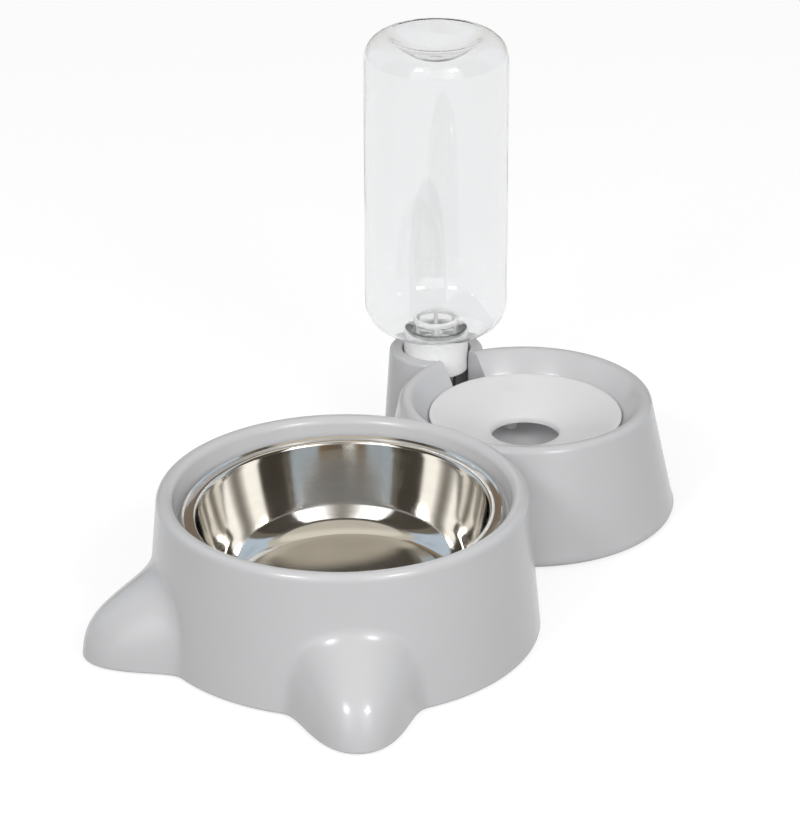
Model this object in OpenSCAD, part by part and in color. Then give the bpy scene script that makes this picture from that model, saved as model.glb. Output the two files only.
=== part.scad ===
// Double pet bowl: a moulded housing with two cat ears, a steel food bowl,
// a water bowl with a splash ring, and an upturned bottle whose valve cap
// stands in a socket beside the water bowl.
// The long axis runs from the food bowl (-X) to the water bowl (+X).

/* [Layout] */
// How far the food and water housings run into each other at the bottom
bowl_overlap = 11.1; // [8:0.1:14]
// Gap between the splash ring's edge and the bottle's collar
collar_gap = 5; // [3.6:0.1:6.6]
// Direction from the water bowl to the bottle, from the long axis
socket_angle = 69.6; // [60:0.2:80]
// Height of the housing's bottom edge above the ground
ground_gap = 1; // [0.6:0.1:1.4]
// Wall of the housing
wall = 2.6; // [2.2:0.1:2.8]

/* [Steel bowl] */
// Outer radius of the rolled rim
bowl_rim_r = 71; // [60:0.2:80]
// Radius of the rolled edge
bowl_roll_r = 1.3; // [1.1:0.05:1.4]
// Width of the flange, from the rim's edge to the mouth
flange_w = 6.7; // [5.6:0.1:7.8]
// How much the wall draws in between the mouth and its foot
wall_draw = 4.8; // [4:0.1:6]
// Inner depth below the flange
bowl_depth = 40; // [36:0.1:41]
// Inner rounding between the wall and the floor
bowl_corner_r = 10.5; // [8:0.1:12]
// Sheet thickness
bowl_t = 0.8; // [0.6:0.05:1]

/* [Food housing] */
// Gap between the rim of the steel bowl and the well round it
rim_gap = 1.9; // [1:0.1:3]
// Gap between the steel bowl's mouth and the opening in the ledge
ledge_gap = 1.7; // [1:0.1:2.4]
// Width of the lip, from the well to the outer wall
food_lip_w = 8.6; // [7.6:0.1:10]
// How much wider the housing is at its bottom edge than below the lip
food_flare = 5.7; // [2:0.1:9]
// Height of the lip's crest
food_h = 65.3; // [58:0.1:72]
// Radius of the lip's rounding
food_lip_r = 3.6; // [3.2:0.1:3.8]
// Depth of the ledge below the lip's crest, on the steel bowl's axis
ledge_drop = 11.4; // [10:0.1:13]
// Lean of the ledge towards the ears, in degrees
seat_tilt = 2.1; // [0:0.1:3]
// Depth of the skirt below the ledge
skirt_depth = 26; // [18:1:32]

/* [Ears] */
// Angle between each ear and the long axis
ear_angle = 39; // [34:1:44]
// Reach of an ear beyond the wall
ear_reach = 30.5; // [24:0.5:34]
// Height at which an ear has blended into the wall
ear_h = 42; // [36:0.5:46]
// Half of the angle that an ear takes on the wall
ear_half_angle = 21; // [18:0.5:23]

/* [Splash ring] */
// Outer radius
ring_r = 45; // [38:0.2:52]
// Radius of the drinking hole
ring_hole_r = 15.8; // [13:0.1:19]
// Depth of the ring's edge below the water housing's lip
ring_drop = 8.7; // [8:0.1:9.4]
// Fall of the funnel from edge to hole
ring_fall = 11; // [9:0.2:12]
// Thickness
ring_t = 2; // [1.6:0.1:2.2]
// Radius of each leg
ring_leg_r = 3.8; // [3:0.1:4]

/* [Water housing] */
// Gap between the splash ring and the tray round it
ring_gap = 1; // [0.6:0.1:1.6]
// Width of the lip, from the tray to the crest
water_lip_w = 9.6; // [8.8:0.1:11]
// How much wider the housing is at its bottom edge than below the lip
water_flare = 11; // [6:0.1:15]
// Height of the lip's crest
water_h = 55.3; // [50:0.1:60]
// Radius of the lip's rounding
water_lip_r = 3.7; // [3.4:0.1:3.9]
// Height of the tray's floor
tray_floor_h = 22; // [20:0.2:23]

/* [Bottle] */
// Radius of the body
bottle_r = 34; // [30:0.1:38]
// Length from the mouth to the base
bottle_l = 164.4; // [140:0.2:190]
// Radius of the base's rounding
heel_r = 11.5; // [9:0.5:14]
// Depth of the dent in the base
punt_depth = 9; // [6:0.5:11]
// Wall thickness
bottle_t = 0.8; // [0.6:0.05:1]
// Outer radius of the neck
neck_r = 13.4; // [12.6:0.05:14.2]
// Wall of the neck
neck_t = 2.1; // [1.8:0.05:2.4]
// Length of the neck
neck_l = 16.7; // [16.2:0.1:18]

/* [Cap and valve] */
// Gap between the neck and the cap's bore
thread_gap = 0.3; // [0.25:0.05:0.35]
// Wall of the cap
cap_wall = 1.7; // [1.4:0.05:2]
// Thickness of the cap's deck under the bottle's mouth
deck_t = 2.2; // [2:0.1:2.3]
// Length of the spout below the deck
spout_l = 9.5; // [8.5:0.1:10]
// Radius of the valve seat's bore
seat_bore_r = 4.6; // [4.2:0.1:4.9]
// Height of the cage's ring above the bottle's shoulder
cage_rise = 5.7; // [4:0.1:8]
// Posts of the cage
cage_posts = 6; // [4:1:6]
// Opening stroke of the valve
valve_stroke = 3; // [2.4:0.1:3.2]
// Radius of the guide stem
stem_r = 1.6; // [1.4:0.05:1.7]
// Wire diameter of the spring
wire_d = 0.6; // [0.5:0.05:0.7]
// Coils of the spring
coils = 5; // [4:1:5]

/* [Bottle socket] */
// Depth of the collar's top below the water housing's lip
collar_drop = 1.3; // [0.8:0.1:2]
// Depth that the cap stands in the socket
cap_depth = 10.5; // [9.8:0.1:11]
// Gap between the cap and the socket
socket_gap = 1; // [0.8:0.1:1.3]
// Width of the collar's top
collar_w = 6; // [5.4:0.1:6.6]
// How much wider the collar is at the bottom than at its top
collar_flare = 3.4; // [2:0.1:5]
// Width of the slot that lets the water through to the tray
slot_w = 19; // [16:0.2:21]

/* [Feet] */
// Radius of each rubber foot
foot_r = 5.5; // [5:0.1:6]
// Thickness of each rubber foot
foot_t = 2.8; // [2.4:0.1:3.2]

/* [Hidden] */
$fn = 96;

// Shared allowances
overrun = 2;
rest_gap = 0.3;
guide_gap = 0.05;
far_r = 150;

// Steel bowl, from the ledge plane
bowl_mouth_r = bowl_rim_r - flange_w;
flange_top = 2.2;
flange_dip = 0.3;

// Food housing
food_well_r = bowl_rim_r + rim_gap;
food_top_r = food_well_r + food_lip_w;
food_base_r = food_top_r + food_flare;
ledge_r = bowl_mouth_r + bowl_t + ledge_gap;
seat_h = food_h - ledge_drop;
lip_land = 0.2;
lip_z = food_h - food_lip_r;
crest_r = food_top_r - food_lip_r;
ledge_t = 2.8;
skirt_t = 2.4;
edge_round = 0.8;

// Ears: exponents of the swell along the wall and up it, and the steps of the skin
ear_plan_power = 1.08;
ear_rise_power = 1.7;
ear_span_share = 1.06;
ear_steps = 30;
front_steps = 6;
back_steps = 44;
lip_steps = 4;
ear_rise_shares = [0.1, 0.2, 0.3, 0.4, 0.5, 0.6, 0.7, 0.8, 0.9, 1];
ear_inset_angle = 1.3;
ear_inset_h = 3;
inner_rise_shares = [0.15, 0.3, 0.45, 0.6, 0.75, 0.9, 1];

// Water housing and tray
tray_top_r = ring_r + ring_gap;
water_crest_r = tray_top_r + water_lip_w;
water_base_r = water_crest_r + water_lip_r + water_flare;
water_lip_z = water_h - water_lip_r;
water_draft = atan(water_flare / (water_lip_z - ground_gap));
ring_top_h = water_h - ring_drop;
tray_edge_angle = 140;
tray_mid_drop = 4;
tray_mid_in = 1.5;
tray_foot_in = 3.5;
tray_fillet = 3;
tray_edge_drop = 0.6;
tray_edge_z = ring_top_h - tray_edge_drop;
tray_body_margin = 2.4;
lip_hollow_drop = 7.3;
base_round = 1.6;

// Splash ring
ring_edge_r = 0.8;
ring_roll_r = 2.4;
ring_hole_lip = 1.8;
ring_leg_in = 9;
ring_leg_at = ring_r - ring_leg_in;
ring_leg_angles = [44, 164, 284];
ring_leg_taper = 0.6;

// Cap and valve, by height
cap_r = neck_r + thread_gap + cap_wall;
collar_h = water_h - collar_drop;
cap_foot_h = collar_h - cap_depth;
deck_z = cap_foot_h + deck_t;
gasket_t = 1.55;
mouth_gap = 0.35;
mouth_z = deck_z + gasket_t + mouth_gap;
shoulder_h = mouth_z + neck_l;
cap_top_drop = 2.3;
cap_top_z = shoulder_h - cap_top_drop;
cap_chamfer = 0.9;
cap_rim_round = 0.4;
spout_r = 8.6;
spout_taper = 0.7;
spout_wall = 1.5;
spout_tip_r = spout_r - spout_taper;
spout_bore_r = spout_tip_r - spout_wall;

// Cage and gasket in the bottle's mouth
neck_bore_r = neck_r - neck_t;
cage_r = neck_bore_r - rest_gap;
cage_foot_w = 2.8;
cage_foot_t = 1.3;
cage_post_t = 1.6;
cage_post_w = 1.9;
cage_post_in = 0.1;
cage_post_r = cage_r - cage_post_t;
cage_post_phase = 35;
cage_ring_h = 2.4;
cage_ring_round = 0.5;
cage_top_z = shoulder_h + cage_rise;
cage_bite = 0.4;
gasket_in_r = cage_r + rest_gap;
gasket_edge = 0.1;
gasket_out_r = neck_r + gasket_edge;
hub_r = 3.2;
hub_l = 3;
hub_drop = 5.8;
hub_z = shoulder_h - hub_drop;
spoke_w = 1.5;
spoke_t = 1.5;
spoke_z = hub_z + (hub_l - spoke_t) / 2;

// Poppet, its seal and spring
seat_overlap = 1.6;
disc_r = seat_bore_r + seat_overlap;
seal_t = 1.2;
seal_edge = 0.3;
disc_t = 1.5;
push_r = 2;
pin_drop = 6.5;
pin_top_z = cap_foot_h - pin_drop;
seal_z = deck_z + valve_stroke;
disc_z = seal_z + seal_t;
spring_low = disc_z + disc_t;
spring_r = 3.8;
spring_gap = 0.2;
coil_rings = 8;
wire_sides = 6;

// Socket, its ribs and the pin that opens the valve
socket_r = cap_r + socket_gap;
socket_t = 2.4;
collar_top_r = socket_r + collar_w;
collar_base_r = collar_top_r + collar_flare;
collar_hollow_drop = 14;
collar_round = 1.2;
rib_t = 2;
rib_gap = 2.4;
rib_in_r = spout_r + rib_gap;
pin_r = 2.5;
pin_foot_r = 5;
pin_foot_h = 6;

// Bottle
bottle_top_h = mouth_z + bottle_l;
shoulder_in = 4;
shoulder_r = bottle_r - neck_r - 2 * bottle_t - shoulder_in;

// Feet
boss_wall = 2;
boss_h = 9;
food_foot_angles = [75, 180, 285];
water_foot_angles = [0, 285];
foot_chamfer = 0.5;
foot_fit = 0.1;

// Places of the three axes
bowl_pitch = food_base_r + water_base_r - bowl_overlap;
socket_pitch = ring_r + collar_gap + collar_top_r;
slot_reach = socket_pitch - tray_top_r + tray_foot_in + tray_fillet + overrun;
water_at = [bowl_pitch, 0, 0];
bottle_at = [bowl_pitch + socket_pitch * cos(socket_angle), socket_pitch * sin(socket_angle), 0];

// Points of an arc about [x, z]
function arc(x, z, r, a0, a1, n) =
    [for (i = [0 : n]) let (a = a0 + (a1 - a0) * i / n) [x + r * cos(a), z + r * sin(a)]];

// Swell of an ear at an angle from its middle and a height, one at its root and nought at its edge
function swell(angle, z, half_angle, h) =
    let (u = pow(min(1, abs(angle) / half_angle), 2 * ear_plan_power)
        + pow(min(1, max(0, z) / h), 2 * ear_rise_power))
    (1 + cos(180 * min(1, sqrt(u)))) / 2;

// Radius of the plain wall at a height
function food_wall_r(z) = food_base_r - (food_base_r - food_top_r) * z / lip_z;

// Radius of the skin with both ears, drawn in by an inset
function skin_r(angle, z, inset, half_angle, h) =
    food_wall_r(z) - inset
    + ear_reach * (swell(angle - 180 + ear_angle, z, half_angle, h)
        + swell(angle - 180 - ear_angle, z, half_angle, h));

// Angles round the skin, close together on the ears
ear_span = ear_half_angle * ear_span_share;
ear_a = 180 - ear_angle - ear_span;
ear_b = 180 + ear_angle - ear_span;
front_span = ear_b - ear_a - 2 * ear_span;
back_span = 360 - front_span - 4 * ear_span;
function ring_angles(k) = concat(
    [for (i = [0 : ear_steps / k - 1]) ear_a + 2 * ear_span * i * k / ear_steps],
    [for (i = [0 : front_steps / k - 1]) ear_a + 2 * ear_span + front_span * i * k / front_steps],
    [for (i = [0 : ear_steps / k - 1]) ear_b + 2 * ear_span * i * k / ear_steps],
    [for (i = [0 : back_steps / k - 1]) ear_b + 2 * ear_span + back_span * i * k / back_steps]);

// Rings of the outer skin as [height, inset], from below the bottom edge up over the lip
outer_rings = concat(
    [[ground_gap - edge_round, 2 * edge_round], [ground_gap + edge_round, 0]],
    [for (s = ear_rise_shares) [ear_h * s + ground_gap, 0]],
    [for (i = [0 : lip_steps]) let (a = 90 * i / lip_steps)
        [lip_z + food_lip_r * sin(a), (food_lip_r - lip_land) * (1 - cos(a))]]);
inner_rings = concat(
    [[-overrun, wall]],
    [for (s = inner_rise_shares) [ground_gap + (ear_h - ear_inset_h) * s, wall]],
    [[lip_z, wall]]);

// Points of a skin, ring by ring
function skin_points(rings, angles, half_angle, h) =
    [for (g = rings) for (a = angles) let (r = skin_r(a, min(g[0], lip_z), g[1], half_angle, h))
        [r * cos(a), r * sin(a), g[0]]];

// Triangles between rows of n points, closed by a fan to a point at each end
function swept_faces(rows, n) = concat(
    [for (j = [0 : rows - 2]) for (i = [0 : n - 1])
        [j * n + i, (j + 1) * n + i, (j + 1) * n + (i + 1) % n]],
    [for (j = [0 : rows - 2]) for (i = [0 : n - 1])
        [j * n + i, (j + 1) * n + (i + 1) % n, j * n + (i + 1) % n]],
    [for (i = [0 : n - 1]) [i, (i + 1) % n, rows * n]],
    [for (i = [0 : n - 1]) [(rows - 1) * n + (i + 1) % n, (rows - 1) * n + i, rows * n + 1]]);

module skin(rings, angles, half_angle, h) {
    ends = [[0, 0, rings[0][0]], [0, 0, rings[len(rings) - 1][0]]];
    polyhedron(points = concat(skin_points(rings, angles, half_angle, h), ends),
        faces = swept_faces(len(rings), len(angles)), convexity = 6);
}

// The part's own origin: the middle of its box, on the ground
outline = skin_points(outer_rings, ring_angles(1), ear_half_angle, ear_h);
x_low = min([for (p = outline) p[0]]);
x_high = bowl_pitch + water_base_r;
y_low = min([for (p = outline) p[1]]);
y_high = bottle_at[1] + bottle_r;
middle = [(x_low + x_high) / 2, (y_low + y_high) / 2, 0];

module in_row() {
    translate(-middle) children();
}

module at_water() {
    in_row() translate(water_at) children();
}

module at_bottle() {
    in_row() translate(bottle_at) children();
}

// Frame of the ledge, which leans towards the ears
module on_ledge() {
    translate([0, 0, seat_h]) rotate([0, -seat_tilt, 0]) children();
}

// Lathe work
module turned(points) {
    rotate_extrude() polygon(points);
}

// Food housing, full, cut off at its bottom edge
module food_body() {
    difference() {
        skin(outer_rings, ring_angles(1), ear_half_angle, ear_h);
        translate([0, 0, ground_gap - far_r]) cylinder(h = far_r, r = far_r);
    }
}

// Well above the ledge, open at the top, with the lip's inner rounding
module food_well() {
    intersection() {
        turned(concat(
            [[0, 0], [food_well_r, 0], [food_well_r, seat_h]],
            arc(crest_r - lip_land, lip_z, food_lip_r, 180, 90, 6),
            [[crest_r - lip_land, food_h + overrun], [0, food_h + overrun]]));
        on_ledge() cylinder(h = food_h, r = far_r);
    }
}

// Opening in the ledge for the steel bowl
module ledge_hole() {
    on_ledge() translate([0, 0, -far_r]) cylinder(h = far_r + overrun, r = ledge_r);
}

// Skirt that hangs from the ledge round the steel bowl
module food_skirt() {
    on_ledge() translate([0, 0, -skirt_depth]) cylinder(h = skirt_depth, r = ledge_r + skirt_t);
}

// Hollow of the food housing, from below up to the ledge
module food_hollow() {
    intersection() {
        skin(inner_rings, ring_angles(2), ear_half_angle - ear_inset_angle, ear_h - ear_inset_h);
        on_ledge() translate([0, 0, -far_r - ledge_t]) cylinder(h = far_r, r = far_r);
    }
}

// Water housing, full
module water_body() {
    turned(concat(
        [[0, ground_gap], [water_base_r - base_round, ground_gap]],
        [[water_base_r, ground_gap + base_round]],
        arc(water_crest_r, water_lip_z, water_lip_r, water_draft, 90, 7),
        [[0, water_h]]));
}

// Room for the water, with the lip's inner rounding
module tray_room() {
    turned(concat(
        arc(tray_top_r - tray_foot_in - tray_fillet, tray_floor_h + tray_fillet, tray_fillet, -90, 0, 4),
        [[tray_top_r - tray_mid_in, tray_edge_z - tray_mid_drop], [tray_top_r, tray_edge_z]],
        arc(water_crest_r, water_lip_z, water_lip_r, tray_edge_angle, 90, 5),
        [[water_crest_r, water_h + overrun], [0, water_h + overrun], [0, tray_floor_h]]));
}

// Body of the tray inside the water housing
module tray_body() {
    turned([
        [0, tray_floor_h - wall],
        [tray_top_r - tray_foot_in, tray_floor_h - wall],
        [tray_top_r - tray_foot_in + tray_body_margin, tray_floor_h],
        [tray_top_r - tray_mid_in + tray_body_margin, tray_edge_z - tray_mid_drop],
        [tray_top_r + tray_body_margin, tray_edge_z],
        [water_crest_r, water_lip_z],
        [water_crest_r, water_h],
        [0, water_h]]);
}

// Hollow of the water housing
module water_hollow() {
    hollow_top = water_h - lip_hollow_drop;
    foot_r_at = water_base_r - wall / cos(water_draft);
    turned([
        [0, -overrun],
        [foot_r_at + (overrun + ground_gap) * tan(water_draft), -overrun],
        [foot_r_at - (hollow_top - ground_gap) * tan(water_draft), hollow_top],
        [0, hollow_top]]);
}

// Collar of the bottle socket, full
module collar_body() {
    turned([
        [0, ground_gap],
        [collar_base_r, ground_gap],
        [collar_top_r, collar_h - collar_round],
        [collar_top_r - collar_round, collar_h],
        [0, collar_h]]);
}

// Tube of the socket inside the collar
module socket_body() {
    translate([0, 0, tray_floor_h - wall])
        cylinder(h = collar_h - tray_floor_h + wall, r = socket_r + socket_t);
}

module collar_hollow() {
    hollow_top = collar_h - collar_hollow_drop;
    slope = (collar_base_r - collar_top_r) / (collar_h - ground_gap);
    turned([
        [0, -overrun],
        [collar_base_r - wall + slope * (overrun + ground_gap), -overrun],
        [collar_base_r - wall - slope * (hollow_top - ground_gap), hollow_top],
        [0, hollow_top]]);
}

// Socket bore and the slot that opens it to the tray
module socket_room() {
    translate([0, 0, tray_floor_h]) cylinder(h = collar_h, r = socket_r);
    rotate([0, 0, socket_angle + 180]) translate([0, -slot_w / 2, tray_floor_h])
        cube([slot_reach, slot_w, collar_h]);
}

// Walls and floor of the slot where it crosses the hollow
module slot_body() {
    rotate([0, 0, socket_angle + 180]) translate([0, -slot_w / 2 - socket_t, tray_floor_h - wall])
        cube([slot_reach, slot_w + 2 * socket_t, collar_h - tray_floor_h]);
}

// Zones of the one moulding that are nodes of their own: the tray, and the socket with its collar and slot
module tray_zone() {
    cylinder(h = water_h + overrun, r = tray_top_r + tray_body_margin);
}

module socket_zone() {
    collar_body();
    rotate([0, 0, socket_angle + 180]) translate([0, -slot_w / 2 - socket_t, 0])
        cube([slot_reach, slot_w + 2 * socket_t, water_h + overrun]);
}

// Ribs that carry the cap, and the pin that pushes the valve open
module socket_ribs() {
    for (k = [1 : 3]) rotate([0, 0, socket_angle + 180 + 90 * k])
        translate([rib_in_r, -rib_t / 2, tray_floor_h - wall / 2])
            cube([socket_r - rib_in_r + socket_t / 2, rib_t, cap_foot_h - rest_gap - tray_floor_h + wall / 2]);
    turned([
        [0, tray_floor_h - wall / 2],
        [pin_foot_r, tray_floor_h - wall / 2],
        [pin_foot_r, tray_floor_h],
        [pin_r, tray_floor_h + pin_foot_h],
        [pin_r, pin_top_z - pin_r / 3],
        [pin_r * 2 / 3, pin_top_z],
        [0, pin_top_z]]);
}

// Places of the feet, whose bosses bite half into the wall at their tops
boss_r = foot_r + foot_fit + boss_wall;
food_foot_at = food_wall_r(ground_gap + boss_h) - wall / 2 - boss_r;
water_foot_at = water_base_r - boss_h * tan(water_draft) - wall / 2 - boss_r;
foot_places = concat(
    [for (a = food_foot_angles) food_foot_at * [cos(a), sin(a), 0]],
    [for (a = water_foot_angles) water_at + water_foot_at * [cos(a), sin(a), 0]],
    [bottle_at]);

// Boss that holds a foot
module foot_boss(place, h) {
    translate(place + [0, 0, ground_gap]) cylinder(h = h, r = boss_r);
}

module foot_recess(place) {
    translate(place + [0, 0, -overrun]) cylinder(h = foot_t + overrun, r = foot_r + foot_fit);
}

// Housing of both bowls with the ears, without the zones of the tray and the socket
module base_housing() {
    color([0.74, 0.74, 0.77]) in_row() difference() {
        union() {
            difference() {
                union() {
                    food_body();
                    translate(water_at) water_body();
                }
                difference() {
                    union() {
                        food_hollow();
                        translate(water_at) water_hollow();
                    }
                    food_skirt();
                    translate(water_at) tray_body();
                }
                food_well();
                ledge_hole();
                translate(water_at) {
                    tray_room();
                    tray_zone();
                }
                translate(bottle_at) socket_zone();
            }
            for (i = [0 : len(foot_places) - 2]) foot_boss(foot_places[i], boss_h);
        }
        for (i = [0 : len(foot_places) - 2]) foot_recess(foot_places[i]);
    }
}

// Tray of the water bowl
module water_tray() {
    color([0.70, 0.70, 0.73]) in_row() difference() {
        translate(water_at) intersection() {
            tray_zone();
            difference() {
                water_body();
                difference() {
                    water_hollow();
                    tray_body();
                    translate(bottle_at - water_at) slot_body();
                }
            }
        }
        translate(water_at) tray_room();
        translate(bottle_at) socket_room();
    }
}

// Socket of the bottle with its collar, ribs and pin, and the slot that leads to the tray
module bottle_socket() {
    color([0.78, 0.78, 0.81]) in_row() difference() {
        union() {
            difference() {
                intersection() {
                    translate(bottle_at) socket_zone();
                    union() {
                        translate(water_at) water_body();
                        translate(bottle_at) collar_body();
                    }
                }
                difference() {
                    union() {
                        translate(water_at) water_hollow();
                        translate(bottle_at) collar_hollow();
                    }
                    translate(water_at) tray_body();
                    translate(bottle_at) {
                        socket_body();
                        slot_body();
                    }
                }
                translate(water_at) {
                    tray_room();
                    tray_zone();
                }
                translate(bottle_at) socket_room();
            }
            translate(bottle_at) socket_ribs();
            foot_boss(bottle_at, tray_floor_h - ground_gap - wall / 2);
        }
        foot_recess(bottle_at);
    }
}

// Inside of the steel bowl as a solid of revolution, grown by an offset
function bowl_shape(grow) =
    let (lean = atan(wall_draw / (bowl_depth - bowl_corner_r)))
    concat(
        [[bowl_mouth_r + grow, flange_top]],
        arc(bowl_mouth_r - wall_draw - bowl_corner_r, flange_top - bowl_depth + bowl_corner_r,
            bowl_corner_r + grow, -lean, -90, 9),
        [[0, flange_top - bowl_depth - grow], [0, flange_top]]);

module steel_food_bowl() {
    color([0.80, 0.80, 0.79]) in_row() on_ledge() translate([0, 0, rest_gap]) difference() {
        union() {
            turned(bowl_shape(bowl_t));
            turned([
                [0, flange_top - bowl_t],
                [bowl_rim_r - bowl_roll_r, flange_top - bowl_t - flange_dip],
                [bowl_rim_r - bowl_roll_r, flange_top - flange_dip],
                [bowl_mouth_r + bowl_roll_r, flange_top],
                [0, flange_top]]);
            rotate_extrude() translate([bowl_rim_r - bowl_roll_r, bowl_roll_r])
                circle(r = bowl_roll_r, $fn = 32);
        }
        turned(concat(
            [[0, flange_top + overrun], [bowl_mouth_r + bowl_roll_r / 2, flange_top + overrun]],
            [[bowl_mouth_r + bowl_roll_r / 2, flange_top]],
            [for (p = bowl_shape(0)) p + [0, -bowl_roll_r * (p[1] == flange_top && p[0] > 0 ? 1 : 0)]]));
    }
}

// Splash ring: a shallow funnel with a rolled hole on three legs
module splash_ring() {
    hole_top = ring_top_h - ring_fall;
    slope = atan((ring_fall - ring_roll_r) / (ring_r - ring_hole_r - ring_roll_r));
    color([0.93, 0.93, 0.93]) at_water() {
        turned(concat(
            [[ring_r, ring_top_h - ring_edge_r], [ring_r - ring_edge_r, ring_top_h]],
            arc(ring_hole_r + ring_roll_r, hole_top, ring_roll_r, 90 + slope, 180, 5),
            [[ring_hole_r, hole_top - ring_hole_lip], [ring_hole_r + ring_t, hole_top - ring_hole_lip]],
            [[ring_hole_r + ring_t, hole_top], [ring_r - ring_edge_r, ring_top_h - ring_t]]));
        for (a = ring_leg_angles) rotate([0, 0, a]) translate([ring_leg_at, 0, tray_floor_h + rest_gap])
            cylinder(h = ring_top_h - ring_t - tray_floor_h
                - (ring_r - ring_leg_at) * tan(slope), r1 = ring_leg_r - ring_leg_taper, r2 = ring_leg_r);
    }
}

// Outline of the bottle from its mouth up to the dent in its base, drawn in by a wall
function bottle_shape(in, neck) = concat(
    [[neck, mouth_z], [neck, shoulder_h - 2 * bottle_t - in]],
    [[neck + 2 * bottle_t, shoulder_h - bottle_t / 2 + in]],
    arc(bottle_r - shoulder_r, shoulder_h + shoulder_r, shoulder_r - in, -90, 0, 10),
    arc(bottle_r - heel_r, bottle_top_h - heel_r, heel_r - in, 0, 90, 8),
    [for (i = [1 : 8]) let (s = 1 - i / 8, r = bottle_r - heel_r)
        [r * s, bottle_top_h - in - punt_depth * (1 - pow(s, 2)) * (1 + s) / (1 + s * s)]]);

module water_bottle() {
    color([0.86, 0.9, 0.92, 0.35]) at_bottle() difference() {
        turned(concat(bottle_shape(0, neck_r), [[0, mouth_z]]));
        turned(concat(bottle_shape(bottle_t, neck_bore_r),
            [[0, mouth_z - overrun], [neck_bore_r, mouth_z - overrun]]));
    }
}

module bottle_cap() {
    bore = neck_r + thread_gap;
    color([0.95, 0.95, 0.95]) at_bottle() turned([
        [seat_bore_r, deck_z],
        [bore, deck_z],
        [bore, cap_top_z],
        [cap_r - cap_rim_round, cap_top_z],
        [cap_r, cap_top_z - cap_rim_round],
        [cap_r, cap_foot_h + cap_chamfer],
        [cap_r - cap_chamfer, cap_foot_h],
        [spout_r, cap_foot_h],
        [spout_tip_r, cap_foot_h - spout_l],
        [spout_bore_r, cap_foot_h - spout_l],
        [spout_bore_r, cap_foot_h],
        [seat_bore_r, cap_foot_h]]);
}

module cap_gasket() {
    color([0.62, 0.66, 0.7]) at_bottle() turned([
        [gasket_in_r, deck_z],
        [gasket_out_r, deck_z],
        [gasket_out_r, deck_z + gasket_t],
        [gasket_in_r, deck_z + gasket_t]]);
}

// Cage over the valve: a ring on posts that stands up out of the neck, seen
// through the bottle, with a spoked hub that guides the poppet
module valve_cage() {
    post_angle = 2 * asin(cage_post_w / 2 / cage_r);
    post_h = cage_top_z - deck_z - (cage_ring_h + cage_foot_t) / 2;
    color([0.88, 0.88, 0.88]) at_bottle() {
        turned([
            [cage_r - cage_foot_w, deck_z],
            [cage_r, deck_z],
            [cage_r, deck_z + cage_foot_t],
            [cage_r - cage_foot_w, deck_z + cage_foot_t]]);
        turned([
            [cage_post_r, cage_top_z - cage_ring_h],
            [cage_r, cage_top_z - cage_ring_h],
            [cage_r, cage_top_z - cage_ring_round],
            [cage_r - cage_ring_round, cage_top_z],
            [cage_post_r, cage_top_z]]);
        turned([
            [stem_r + guide_gap, hub_z],
            [hub_r, hub_z],
            [hub_r, hub_z + hub_l],
            [stem_r + guide_gap, hub_z + hub_l]]);
        for (k = [0 : cage_posts - 1]) rotate([0, 0, cage_post_phase + 360 * k / cage_posts]) {
            translate([hub_r - cage_bite, -spoke_w / 2, spoke_z])
                cube([cage_post_r - hub_r + 2 * cage_bite, spoke_w, spoke_t]);
            rotate([0, 0, -post_angle / 2]) rotate_extrude(angle = post_angle)
                translate([cage_post_r + cage_post_in, deck_z + cage_foot_t / 2])
                    square([cage_post_t - 2 * cage_post_in, post_h]);
        }
    }
}

// Poppet: push stem below, disc, and guide stem above
module valve_poppet() {
    color([0.9, 0.9, 0.88]) at_bottle() turned([
        [0, pin_top_z + rest_gap],
        [push_r, pin_top_z + rest_gap],
        [push_r, disc_z],
        [disc_r, disc_z],
        [disc_r, disc_z + disc_t],
        [stem_r, disc_z + disc_t],
        [stem_r, hub_z + hub_l + seal_t],
        [0, hub_z + hub_l + seal_t]]);
}

module poppet_seal() {
    color([0.25, 0.25, 0.27]) at_bottle() turned([
        [push_r, seal_z],
        [disc_r - seal_edge, seal_z],
        [disc_r - seal_edge, disc_z],
        [push_r, disc_z]]);
}

// Spring between the disc and the cage's hub, one swept wire
spring_a = spring_low + spring_gap + wire_d / 2;
spring_b = hub_z - spring_gap - wire_d / 2;
function coil_point(t) =
    [spring_r * cos(360 * t), spring_r * sin(360 * t), spring_a + (spring_b - spring_a) * t / coils];
wire_points = [for (i = [0 : coils * coil_rings]) let (t = i / coil_rings, p = coil_point(t))
    for (k = [0 : wire_sides - 1]) let (b = 360 * k / wire_sides)
        p + wire_d / 2 * [cos(b) * cos(360 * t), cos(b) * sin(360 * t), sin(b)]];

module valve_spring() {
    color([0.72, 0.72, 0.7]) at_bottle()
        polyhedron(points = concat(wire_points, [coil_point(0), coil_point(coils)]),
            faces = swept_faces(coils * coil_rings + 1, wire_sides), convexity = 8);
}

// Least gap between neighbouring coils
echo(coil_gap = (spring_b - spring_a) / coils - wire_d);

module foot(i) {
    color([0.35, 0.35, 0.37]) in_row() translate(foot_places[i]) turned([
        [0, 0],
        [foot_r - foot_chamfer, 0],
        [foot_r, foot_chamfer],
        [foot_r, foot_t],
        [0, foot_t]]);
}

base_housing();
water_tray();
bottle_socket();
steel_food_bowl();
splash_ring();
water_bottle();
bottle_cap();
cap_gasket();
valve_cage();
valve_poppet();
poppet_seal();
valve_spring();
foot(0);  // foot_1
foot(1);  // foot_2
foot(2);  // foot_3
foot(3);  // foot_4
foot(4);  // foot_5
foot(5);  // foot_6
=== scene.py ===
import math

import bpy
from mathutils import Matrix, Vector


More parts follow.
